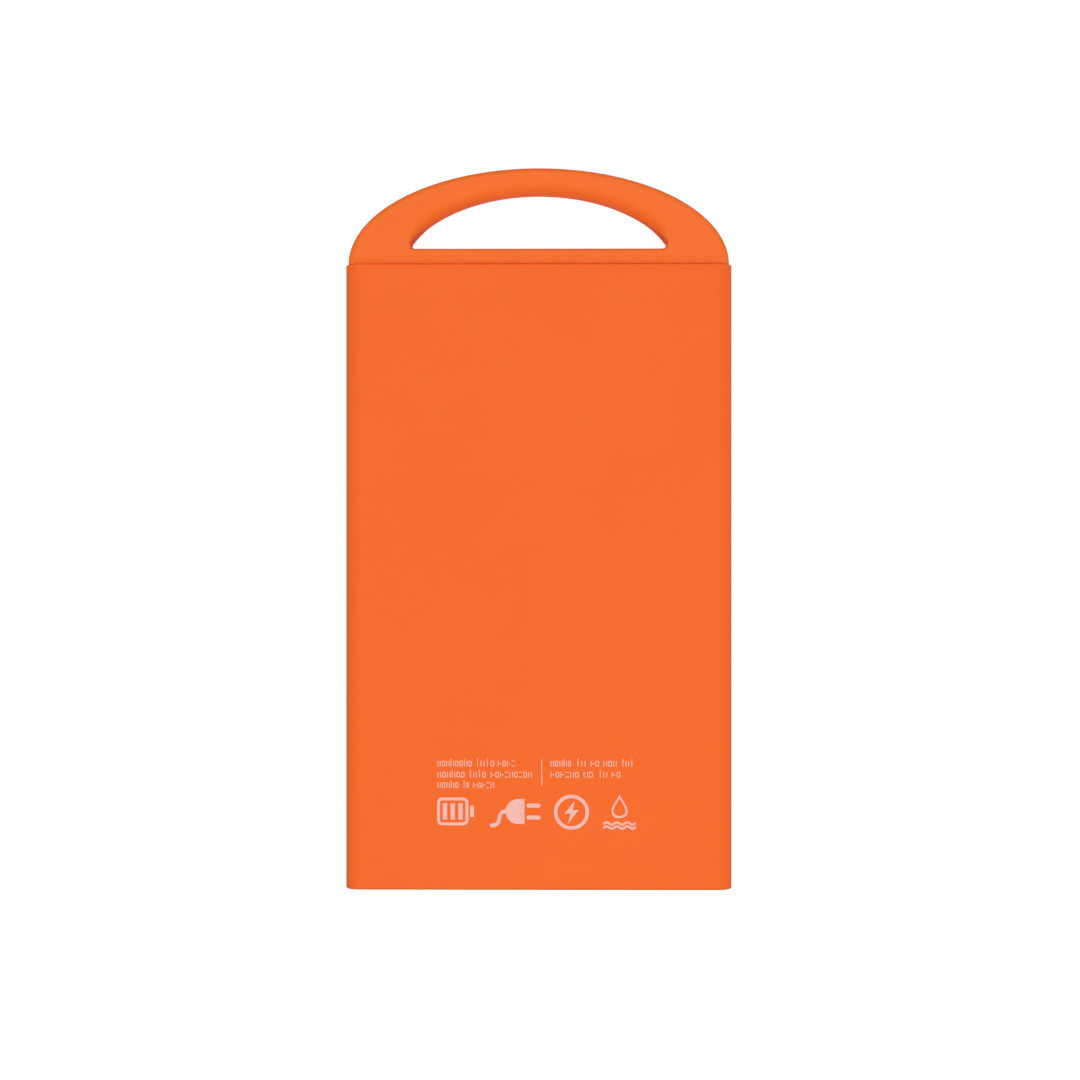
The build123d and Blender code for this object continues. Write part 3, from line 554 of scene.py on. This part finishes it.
def word(x0, x1, y, seed):
    """A word as a row of plain marks with the weight of small text: rings, single and
    double bars, short dashes. There are no letter shapes and nothing to read."""
    X, TALL, PEN = 0.98, 1.32, 0.155
    count = max(1, round((x1 - x0) / 0.80))
    pitch = (x1 - x0) / count
    loops = []
    for i in range(count):
        bx, w = x0 + pitch * i + 0.05, pitch - 0.18
        kind = (seed * 5 + i * 7 + (i * i) % 5) % 9
        if kind in (0, 4, 7):
            loops += [rounded(bx, y, bx + w, y + X, 0.22, 6),
                      rounded(bx + PEN, y + PEN, bx + w - PEN, y + X - PEN, 0.10, 4)]
        elif kind in (1, 5):
            loops += [rounded(bx, y, bx + PEN, y + X, 0.04, 2),
                      rounded(bx + w - PEN, y, bx + w, y + X, 0.04, 2)]
        elif kind == 2:
            loops.append(rounded(bx + w / 2 - PEN / 2, y, bx + w / 2 + PEN / 2, y + TALL, 0.04, 2))
        elif kind == 3:
            loops += [rounded(bx, y, bx + PEN, y + TALL, 0.04, 2),
                      rounded(bx + w - PEN, y, bx + w, y + X, 0.04, 2)]
        elif kind == 6:
            loops += [rounded(bx, y + X - PEN, bx + w, y + X, 0.04, 2),
                      rounded(bx, y, bx + w, y + PEN, 0.04, 2)]
        else:
            loops += [rounded(bx, y, bx + PEN, y + X, 0.04, 2),
                      rounded(bx + PEN + 0.08, y + X / 2 - PEN / 2, bx + w, y + X / 2 + PEN / 2, 0.04, 2)]
    return loops


# rows: baseline and word spans, in mm on the face, y from the rim under the handle
RIM = Y_SEAM / MM
ROWS = {
    "left_1": (-84.76, [(-17.11, -11.11), (-10.64, -7.31), (-6.90, -3.84)]),
    "left_2": (-86.63, [(-17.08, -12.31), (-11.81, -8.76), (-8.12, -0.99)]),
    "left_3": (-88.41, [(-17.08, -13.31), (-12.80, -11.57), (-11.07, -7.37)]),
    "right_1": (-84.76, [(2.01, 5.64), (6.26, 8.06), (8.75, 10.37), (10.88, 13.34), (13.89, 16.15)]),
    "right_2": (-86.62, [(2.01, 6.92), (7.56, 9.34), (10.03, 11.72), (12.28, 13.96)]),
}
seed = 1
for row, (y, words) in ROWS.items():
    loops = []
    for x0, x1 in words:
        loops += word(x0, x1, RIM + y, seed)
        seed += 3
    ink_piece(f"print_row_{row}", loops, MAT["ink_fine"])

ink_piece("print_divider", [rounded(0.475, RIM - 87.95, 0.635, RIM - 83.55, 0.05, 2)], MAT["ink_fine"])


def pictogram_battery(cx, cy):
    w, h, pen = 6.24, 4.70, 0.50
    x0, x1 = cx - w / 2, cx + w / 2 - 0.95
    loops = [rounded(x0, cy - h / 2, x1, cy + h / 2, 0.85, 10),
             rounded(x0 + pen, cy - h / 2 + pen, x1 - pen, cy + h / 2 - pen, 0.30, 6),
             rounded(x1 + 0.30, cy - 0.95, cx + w / 2, cy + 0.95, 0.22, 5)]
    a, b = x0 + pen + 0.46, x1 - pen - 0.46
    step = (b - a + 0.56) / 3
    for i in range(3):
        loops.append(rounded(a + step * i, cy - h / 2 + pen + 0.46, a + step * (i + 1) - 0.56,
                             cy + h / 2 - pen - 0.46, 0.14, 4))
    return loops


def pictogram_plug(cx, cy):
    """Mains plug on a curled lead."""
    half, back, r = 0.32, 0.45, 2.10
    neck = math.asin(half / r)
    body = [(cx + 1.55, cy - r), (cx + 1.55, cy + r)]
    for i in range(20):                                      # upper half of the domed back
        a = math.pi / 2 + (math.pi / 2 - neck) * i / 19
        body.append((cx + back + r * math.cos(a), cy + r * math.sin(a)))
    start = cx + back - r * math.cos(neck)
    ends = [(start, cy), (start - 1.75, cy), (start - 0.35, cy - 2.35), (cx - 3.98, cy - 2.35)]
    upper, lower = [], []
    for i in range(1, 41):                                   # lead: cubic curve through the four ends
        t = i / 40
        k = ((1 - t) ** 3, 3 * t * (1 - t) ** 2, 3 * t * t * (1 - t), t ** 3)
        d = (3 * (1 - t) ** 2, 6 * t * (1 - t), 3 * t * t)
        x, y = (sum(c * p[j] for c, p in zip(k, ends)) for j in (0, 1))
        dx, dy = (sum(c * (q[j] - p[j]) for c, p, q in zip(d, ends, ends[1:])) for j in (0, 1))
        n = math.hypot(dx, dy)
        upper.append((x + half * dy / n, y - half * dx / n))
        lower.append((x - half * dy / n, y + half * dx / n))
    tip = [(ends[3][0] + half * math.cos(a), ends[3][1] + half * math.sin(a))
           for a in (math.pi / 2 + math.pi * i / 12 for i in range(1, 12))]
    body += upper + tip + lower[::-1]
    for i in range(20):                                      # lower half
        a = math.pi + neck + (math.pi / 2 - neck) * i / 19
        body.append((cx + back + r * math.cos(a), cy + r * math.sin(a)))
    loops = [body,
             rounded(cx + 1.90, cy + 0.66, cx + 4.25, cy + 1.36, 0.30, 6),
             rounded(cx + 1.90, cy - 1.36, cx + 4.25, cy - 0.66, 0.30, 6)]
    return loops


def pictogram_bolt_ring(cx, cy, r):
    bolt = [(0.62, 2.12), (-1.28, -0.28), (-0.22, -0.28), (-0.62, -2.12), (1.28, 0.40), (0.20, 0.40)]
    return [circle(cx, cy, r, 96), circle(cx, cy, r - 0.58, 96),
            [(cx + x * 0.93, cy + y * 0.93) for x, y in bolt]]


def pictogram_drop(cx, cy):
    """Water drop over two ripples, in thin lines."""
    def drop(k, lower):
        pts = []
        for i in range(1, 96):
            t = 2 * math.pi * i / 96
            pts.append((cx + 1.95 * k * math.sin(t) * math.sin(t / 2) ** 1.6,
                        cy + 0.95 + 2.0 * k * math.cos(t) - lower))
        return pts
    loops = [drop(1.0, 0.0), drop(0.76, 0.10)]
    for off in (-1.95, -2.62):
        pts = [(cx - 2.62 + 5.24 * i / 60, cy + off + 0.20 * math.sin(2 * math.pi * i / 60 * 3)) for i in range(61)]
        loops.append(stroke(pts, 0.36, 6))
    return loops


ink_piece("print_battery_mark", pictogram_battery(-13.98, RIM - 92.34), MAT["ink"])
ink_piece("print_plug_mark", pictogram_plug(-3.90, RIM - 92.35), MAT["ink"])
ink_piece("print_bolt_mark", pictogram_bolt_ring(5.57, RIM - 92.45, 2.95), MAT["ink"])
ink_piece("print_drop_mark", pictogram_drop(13.66, RIM - 92.40), MAT["ink"])


# =====================================================================================
# snap dome behind the button: a thin spherical disc in its resting shape (the real dome flattens when the button is
# pressed)
# =====================================================================================
DOME_LO, DOME_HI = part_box("switch_dome")


def build_dome():
    rim_r = (DOME_HI.x - DOME_LO.x) / 2
    rise = DOME_HI.y - DOME_LO.y
    t = 0.1 * MM
    cx, cz, y_rim = (DOME_LO.x + DOME_HI.x) / 2, (DOME_LO.z + DOME_HI.z) / 2, DOME_HI.y

    def cap(r_max, h, steps):
        big = (r_max ** 2 + h ** 2) / (2 * h)
        out = []
        for i in range(steps + 1):
            r = r_max * i / steps
            out.append((r, y_rim - h + big - math.sqrt(big * big - r * r)))
        return out

    profile = cap(rim_r, rise, 16) + cap(rim_r - t, rise - t, 16)[::-1]
    n = 64
    bm = bmesh.new()
    rings = []
    for r, y in profile:
        if r < 1e-9:
            rings.append([bm.verts.new((cx, y, cz))])
        else:
            rings.append([bm.verts.new((cx + r * math.cos(2 * math.pi * i / n), y,
                                        cz + r * math.sin(2 * math.pi * i / n))) for i in range(n)])
    for a, b in zip(rings, rings[1:]):
        for i in range(n):
            j = (i + 1) % n
            if len(a) == 1:
                bm.faces.new((a[0], b[i], b[j]))
            elif len(b) == 1:
                bm.faces.new((a[j], a[i], b[0]))
            else:
                bm.faces.new((a[j], a[i], b[i], b[j]))
    bmesh.ops.recalc_face_normals(bm, faces=bm.faces)
    me = bpy.data.meshes.new("snap_dome")
    bm.to_mesh(me)
    bm.free()
    o = bpy.data.objects.new("snap_dome", me)
    bpy.context.scene.collection.objects.link(o)
    me.materials.append(MAT["socket"])
    for p in me.polygons:
        p.use_smooth = True
    me.set_sharp_from_angle(angle=math.radians(38))
    return o, (cx, y_rim, cz)


dome, dome_anchor = build_dome()
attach(dome, HOUSING)
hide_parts("switch_dome")
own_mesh(dome)


# =====================================================================================
# camera, floor and light
# =====================================================================================
CAM_X, CAM_Y = 0.00026, Y_SEAM - 0.04658
DIST = 0.5016
YAW = math.radians(0.8)
cam_data = bpy.data.cameras.new("camera")
cam_data.sensor_width = 36.0
cam_data.sensor_height = 36.0
cam_data.lens = 99.2
cam_data.clip_start = 0.01
cam_data.clip_end = 20.0
cam = bpy.data.objects.new("camera", cam_data)
bpy.context.scene.collection.objects.link(cam)
cam.location = (CAM_X + DIST * math.sin(YAW), CAM_Y, Z_FACE + DIST * math.cos(YAW))
cam.rotation_euler = (0.0, YAW, 0.0)
bpy.context.scene.camera = cam


def stage_material(name, near, far=None):
    """White paper. The glow rises with the distance from the object, from near to far."""
    m, nt, b = new_mat(name)
    paper = noise(nt, object_coords(nt), 300.0, 3.0, 0.6)
    nt.links.new(mix_color(nt, paper, (0.29, 0.29, 0.29), (0.31, 0.31, 0.31)), b.inputs["Base Color"])
    b.inputs["Roughness"].default_value = 0.95
    b.inputs["Specular IOR Level"].default_value = 0.1
    b.inputs["Emission Color"].default_value = (1.0, 1.0, 1.0, 1.0)
    b.inputs["Emission Strength"].default_value = near
    if far is not None:
        length = nt.nodes.new("ShaderNodeVectorMath")
        length.operation = "LENGTH"
        nt.links.new(object_coords(nt), length.inputs[0])
        span = nt.nodes.new("ShaderNodeMapRange")
        span.interpolation_type = "SMOOTHSTEP"
        for socket, value in zip(("From Min", "From Max", "To Min", "To Max"), (0.30, 1.05, near, far)):
            span.inputs[socket].default_value = value
        nt.links.new(length.outputs["Value"], span.inputs["Value"])
        nt.links.new(span.outputs["Result"], b.inputs["Emission Strength"])
    return m


def lathe(name, profile, material, n=96):
    """Surface of revolution round Z from (radius, height) points."""
    bm = bmesh.new()
    rings = []
    for r, z in profile:
        if r == 0:
            rings.append([bm.verts.new((0, 0, z))])
        else:
            rings.append([bm.verts.new((r * math.cos(2 * math.pi * i / n), r * math.sin(2 * math.pi * i / n), z))
                          for i in range(n)])
    for a, b in zip(rings, rings[1:]):
        for i in range(n):
            j = (i + 1) % n
            if len(a) == 1:
                bm.faces.new((a[0], b[i], b[j]))
            else:
                bm.faces.new((a[i], b[i], b[j], a[j]))
    me = bpy.data.meshes.new(name)
    bm.to_mesh(me)
    bm.free()
    for p in me.polygons:
        p.use_smooth = True
    me.materials.append(material)
    o = bpy.data.objects.new(name, me)
    bpy.context.scene.collection.objects.link(o)
    return o


floor = lathe("floor", [(0, 0), (0.3, 0), (0.6, 0), (0.9, 0), (1.15, 0)], stage_material("floor_white", 0.86, 1.0))
floor.visible_glossy = False                                 # matt paper: no glare from it on the edges
backdrop = lathe("backdrop", [(1.15, 0)] + [(1.15 + 0.12 * math.sin(a), 0.12 * (1 - math.cos(a)))
                                            for a in (math.pi / 2 * i / 8 for i in range(1, 9))] + [(1.27, 0.48)],
                 stage_material("backdrop_white", 1.0))
backdrop.visible_diffuse = False                             # it closes the view and lights nothing
backdrop.visible_glossy = False
backdrop.visible_shadow = False


def area(name, loc, target, size, power, size_y=None, color=(1, 1, 1)):
    d = bpy.data.lights.new(name, "AREA")
    d.energy = power
    d.color = color
    d.shape = "RECTANGLE" if size_y else "SQUARE"
    d.size = size
    if size_y:
        d.size_y = size_y
    o = bpy.data.objects.new(name, d)
    bpy.context.scene.collection.objects.link(o)
    o.location = loc
    o.rotation_euler = (Vector(target) - Vector(loc)).to_track_quat("-Z", "Y").to_euler()
    return o


area("softbox_top", (0.0, 0.10, 1.30), (0, 0, 0), 1.3, 13.5)
area("softbox_front", (0.15, -0.95, 0.85), (0, 0, 0), 0.9, 5.6)
area("softbox_left", (-1.05, 0.15, 0.7), (0, 0, 0), 0.8, 0.6)
area("softbox_right", (1.05, 0.15, 0.7), (0, 0, 0), 0.8, 0.8)

world = bpy.data.worlds.new("studio")
world.use_nodes = True
world.node_tree.nodes["Background"].inputs[0].default_value = (1.0, 1.0, 1.0, 1.0)
world.node_tree.nodes["Background"].inputs[1].default_value = 0.27
bpy.context.scene.world = world

bpy.context.scene.view_settings.view_transform = "Standard"
bpy.context.scene.view_settings.look = "None"
bpy.context.scene.view_settings.exposure = 0.0
bpy.context.scene.view_settings.gamma = 1.0
